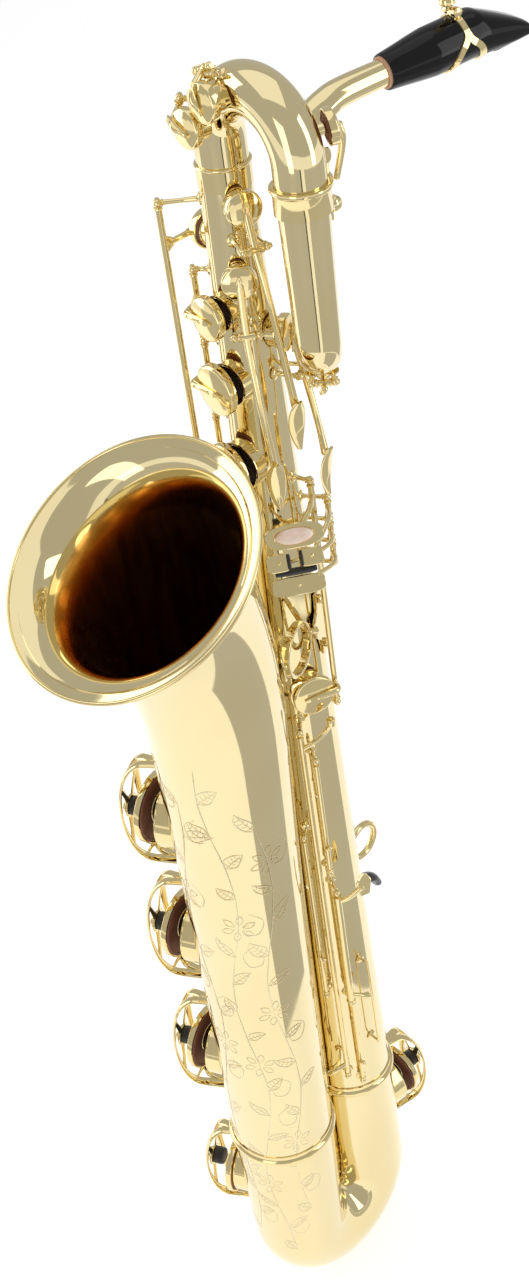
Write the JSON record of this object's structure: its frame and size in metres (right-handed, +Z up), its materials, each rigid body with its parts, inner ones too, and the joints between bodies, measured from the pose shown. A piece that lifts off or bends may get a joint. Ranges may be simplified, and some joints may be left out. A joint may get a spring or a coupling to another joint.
{
  "type": "baritone saxophone",
  "caption": "Low A baritone saxophone in gold lacquer: body tube, bow, bell, coiled top crook, neck, mouthpiece and sprung keywork that opens and closes.",
  "frame": {"origin": "centre of the neck-strap ring's eye on the back of the body tube, where a strap hook holds the instrument", "axes": "+Z up along the body tube towards the top crook; +Y out of the back, towards the player; -Y the side the bell is on; +X the player's left"},
  "size_m": [0.1886, 0.3767, 1.0724],
  "materials": {
    "lacquered_brass": "polished under clear lacquer",
    "pad_leather": "satin",
    "black_felt": "matte",
    "cork": "matte",
    "black_ebonite": "polished",
    "black_plastic": "satin",
    "pearl": "pearl, polished"
  },
  "bodies": {
    "horn": {"main_tube": "lacquered_brass", "bottom_bow": "lacquered_brass", "bell": "lacquered_brass", "top_crook": "lacquered_brass", "neck_receiver": "lacquered_brass", "body_bow_ring": "lacquered_brass", "bell_bow_ring": "lacquered_brass", "crook_ferrule": "lacquered_brass", "ring_brace": "lacquered_brass", "brace_screw_upper": "lacquered_brass", "brace_screw_lower": "lacquered_brass", "strap_ring": "lacquered_brass", "guard_low_A": "lacquered_brass", "guard_low_Bb": "lacquered_brass", "guard_low_B": "lacquered_brass", "guard_low_Csharp": "lacquered_brass", "guard_low_C": "lacquered_brass", "bumper_low_A": "black_felt", "bumper_low_Bb": "black_felt", "bumper_low_B": "black_felt", "bumper_low_Csharp": "black_felt", "bumper_low_C": "black_felt"},
    "neck": {"neck": "lacquered_brass", "neck_cork": "cork"},
    "mouthpiece": {"mouthpiece": "black_ebonite", "ligature": "lacquered_brass"},
    "ligature_screw": {"ligature_screw": "lacquered_brass"},
    "neck_clamp_screw": {"neck_clamp_screw": "lacquered_brass"},
    "thumb_hook": {"thumb_hook": "black_plastic"},
    "key_low_A": {"key_low_A": "lacquered_brass", "pad_low_A": "pad_leather"},
    "key_low_Bb": {"key_low_Bb": "lacquered_brass", "pad_low_Bb": "pad_leather"},
    "key_low_B": {"key_low_B": "lacquered_brass", "pad_low_B": "pad_leather"},
    "key_B": {"key_B": "lacquered_brass", "pad_B": "pad_leather"},
    "key_A": {"key_A": "lacquered_brass", "pad_A": "pad_leather"},
    "key_G": {"key_G": "lacquered_brass", "pad_G": "pad_leather"},
    "key_low_Csharp": {"key_low_Csharp": "lacquered_brass"},
    "key_low_C": {"key_low_C": "lacquered_brass"},
    "key_F": {"key_F": "lacquered_brass"},
    "key_D": {"key_D": "lacquered_brass"},
    "key_side_E": {"key_side_E": "lacquered_brass"},
    "key_palm_D": {"key_palm_D": "lacquered_brass"},
    "key_palm_Eb": {"key_palm_Eb": "lacquered_brass"},
    "key_palm_F": {"key_palm_F": "lacquered_brass"},
    "key_high_E": {"key_high_E": "lacquered_brass"},
    "key_high_F": {"key_high_F": "lacquered_brass"},
    "key_Gsharp": {"key_Gsharp": "lacquered_brass", "pearl_Gsharp": "pearl"},
    "water_key": {"water_key": "lacquered_brass"},
    "touch_low_Csharp": {"touch_low_Csharp": "lacquered_brass"},
    "touch_low_B": {"touch_low_B": "lacquered_brass"},
    "touch_low_Bb": {"touch_low_Bb": "lacquered_brass"},
    "touch_low_C": {"touch_low_C": "lacquered_brass"},
    "link_Csharp": {"link_Csharp": "lacquered_brass"},
    "table_roller": {"table_roller": "black_plastic"}
  },
  "joints": [
    {"name": "key_low_A_hinge", "type": "hinge", "parent": "horn", "child": "key_low_A", "pos_m": [-0.04013, -0.09125, 0.12], "axis": [0, 0, 1], "range_deg": [0, 9], "stiffness_Nm_per_rad": 0.03, "springref_deg": -28.65},
    {"name": "key_low_Bb_hinge", "type": "hinge", "parent": "horn", "child": "key_low_Bb", "pos_m": [-0.04013, -0.0929, 0.002], "axis": [0, 0, 1], "range_deg": [0, 9]},
    {"name": "key_low_B_hinge", "type": "hinge", "parent": "horn", "child": "key_low_B", "pos_m": [-0.04013, -0.09472, -0.128], "axis": [0, 0, 1], "range_deg": [0, 9]},
    {"name": "key_low_Csharp_hinge", "type": "hinge", "parent": "horn", "child": "key_low_Csharp", "pos_m": [-0.03716, -0.09854, -0.282], "axis": [0, 0, 1], "range_deg": [-8, 0]},
    {"name": "key_low_C_hinge", "type": "hinge", "parent": "horn", "child": "key_low_C", "pos_m": [-0.03625, -0.01868, -0.276], "axis": [0, 0, 1], "range_deg": [-9, 0]},
    {"name": "key_F_hinge", "type": "hinge", "parent": "horn", "child": "key_F", "pos_m": [-0.02475, -0.01751, 0.17], "axis": [0, 0, 1], "range_deg": [0, 8], "stiffness_Nm_per_rad": 0.03, "springref_deg": -28.65},
    {"name": "key_D_hinge", "type": "hinge", "parent": "horn", "child": "key_D", "pos_m": [-0.02475, -0.01751, 0.055], "axis": [0, 0, 1], "range_deg": [0, 8], "stiffness_Nm_per_rad": 0.03, "springref_deg": -28.65},
    {"name": "key_B_hinge", "type": "hinge", "parent": "horn", "child": "key_B", "pos_m": [-0.02332, -0.06157, 0.492], "axis": [0, 0, 1], "range_deg": [0, 8], "stiffness_Nm_per_rad": 0.03, "springref_deg": -28.65},
    {"name": "key_A_hinge", "type": "hinge", "parent": "horn", "child": "key_A", "pos_m": [-0.02332, -0.06157, 0.444], "axis": [0, 0, 1], "range_deg": [0, 9], "stiffness_Nm_per_rad": 0.03, "springref_deg": -28.65},
    {"name": "key_G_hinge", "type": "hinge", "parent": "horn", "child": "key_G", "pos_m": [-0.02332, -0.06157, 0.386], "axis": [0, 0, 1], "range_deg": [0, 9], "stiffness_Nm_per_rad": 0.03, "springref_deg": -28.65},
    {"name": "key_Gsharp_hinge", "type": "hinge", "parent": "horn", "child": "key_Gsharp", "pos_m": [0.03317, -0.04234, 0.205], "axis": [0, 0, 1], "range_deg": [0, 7], "stiffness_Nm_per_rad": 0.03, "springref_deg": -28.65},
    {"name": "key_side_E_hinge", "type": "hinge", "parent": "horn", "child": "key_side_E", "pos_m": [-0.03102, -0.07396, 0.532], "axis": [0, 0, 1], "range_deg": [0, 7], "stiffness_Nm_per_rad": 0.03, "springref_deg": -28.65},
    {"name": "key_palm_D_hinge", "type": "hinge", "parent": "horn", "child": "key_palm_D", "pos_m": [0.03127, -0.06158, 0.538], "axis": [0.4226, 0.9063, 0], "range_deg": [0, 6], "stiffness_Nm_per_rad": 0.03, "springref_deg": -28.65},
    {"name": "key_palm_Eb_hinge", "type": "hinge", "parent": "horn", "child": "key_palm_Eb", "pos_m": [0.03242, -0.0352, 0.4465], "axis": [-0.342, 0.9397, 0], "range_deg": [0, 6], "stiffness_Nm_per_rad": 0.03, "springref_deg": -28.65},
    {"name": "key_palm_F_hinge", "type": "hinge", "parent": "horn", "child": "key_palm_F", "pos_m": [0.0244, -0.0714, 0.485], "axis": [0.7071, 0.7071, 0], "range_deg": [0, 6], "stiffness_Nm_per_rad": 0.03, "springref_deg": -28.65},
    {"name": "key_high_E_hinge", "type": "hinge", "parent": "horn", "child": "key_high_E", "pos_m": [-0.01493, -0.06106, 0.61392], "axis": [0.371, -0.0521, 0.9272], "range_deg": [-8, 0], "stiffness_Nm_per_rad": 0.03, "springref_deg": 28.65},
    {"name": "key_high_F_hinge", "type": "hinge", "parent": "horn", "child": "key_high_F", "pos_m": [0.01271, -0.06494, 0.64182], "axis": [0.9182, -0.129, 0.3746], "range_deg": [-8, 0], "stiffness_Nm_per_rad": 0.03, "springref_deg": 28.65},
    {"name": "water_key_hinge", "type": "hinge", "parent": "horn", "child": "water_key", "pos_m": [0.0637, -0.05234, 0.4555], "axis": [-0.75, -0.6614, 0], "range_deg": [0, 12], "stiffness_Nm_per_rad": 0.03, "springref_deg": -28.65},
    {"name": "touch_low_Csharp_hinge", "type": "hinge", "parent": "horn", "child": "touch_low_Csharp", "pos_m": [0.03355, -0.02916, -0.22], "axis": [0, 0, 1], "range_deg": [-5, 0], "stiffness_Nm_per_rad": 0.08, "springref_deg": 28.65},
    {"name": "touch_low_B_hinge", "type": "hinge", "parent": "horn", "child": "touch_low_B", "pos_m": [0.03355, -0.02916, -0.22], "axis": [0, 0, 1], "range_deg": [-5, 0], "stiffness_Nm_per_rad": 0.08, "springref_deg": 28.65},
    {"name": "touch_low_Bb_hinge", "type": "hinge", "parent": "horn", "child": "touch_low_Bb", "pos_m": [0.03355, -0.02916, -0.22], "axis": [0, 0, 1], "range_deg": [-5, 0], "stiffness_Nm_per_rad": 0.08, "springref_deg": 28.65},
    {"name": "touch_low_C_hinge", "type": "hinge", "parent": "horn", "child": "touch_low_C", "pos_m": [0.037, -0.072, -0.22], "axis": [0, 0, 1], "range_deg": [0, 5], "stiffness_Nm_per_rad": 0.08, "springref_deg": -28.65},
    {"name": "link_Csharp_hinge", "type": "hinge", "parent": "horn", "child": "link_Csharp", "pos_m": [0.027, -0.077, -0.22], "axis": [0, 0, 1], "range_deg": [0, 5]},
    {"name": "table_roller_spin", "type": "hinge", "parent": "touch_low_Bb", "child": "table_roller", "pos_m": [0.04375, -0.0758, 0.32478], "axis": [0.6392, 0.769, 0], "continuous": true},
    {"name": "neck_swivel", "type": "hinge", "parent": "horn", "child": "neck", "pos_m": [0.04353, -0.02946, 0.577], "axis": [0, 0, 1], "range_deg": [-30, 30]},
    {"name": "mouthpiece_tuning_slide", "type": "slide", "parent": "neck", "child": "mouthpiece", "axis": [0.2913, 0.9527, 0.0872], "range_m": [-0.002, 0.006]},
    {"name": "ligature_screw_turn", "type": "hinge", "parent": "mouthpiece", "child": "ligature_screw", "pos_m": [0.07505, 0.07168, 0.63953], "axis": [0, -0.0911, 0.9958], "continuous": true},
    {"name": "neck_clamp_screw_turn", "type": "hinge", "parent": "horn", "child": "neck_clamp_screw", "pos_m": [0.06253, -0.02946, 0.577], "axis": [0, 0, 1], "continuous": true},
    {"name": "thumb_hook_adjust", "type": "slide", "parent": "horn", "child": "thumb_hook", "axis": [0, 0, 1], "range_m": [-0.004, 0.004]}
  ],
  "couplings": [
    {"joint": "key_low_B_hinge", "follows": "touch_low_B_hinge", "ratio": -1.8},
    {"joint": "key_low_Bb_hinge", "follows": "touch_low_Bb_hinge", "ratio": -1.8},
    {"joint": "key_low_Csharp_hinge", "follows": "touch_low_Csharp_hinge", "ratio": 1.6},
    {"joint": "link_Csharp_hinge", "follows": "touch_low_Csharp_hinge", "ratio": -1},
    {"joint": "key_low_C_hinge", "follows": "touch_low_C_hinge", "ratio": -1.8}
  ]
}
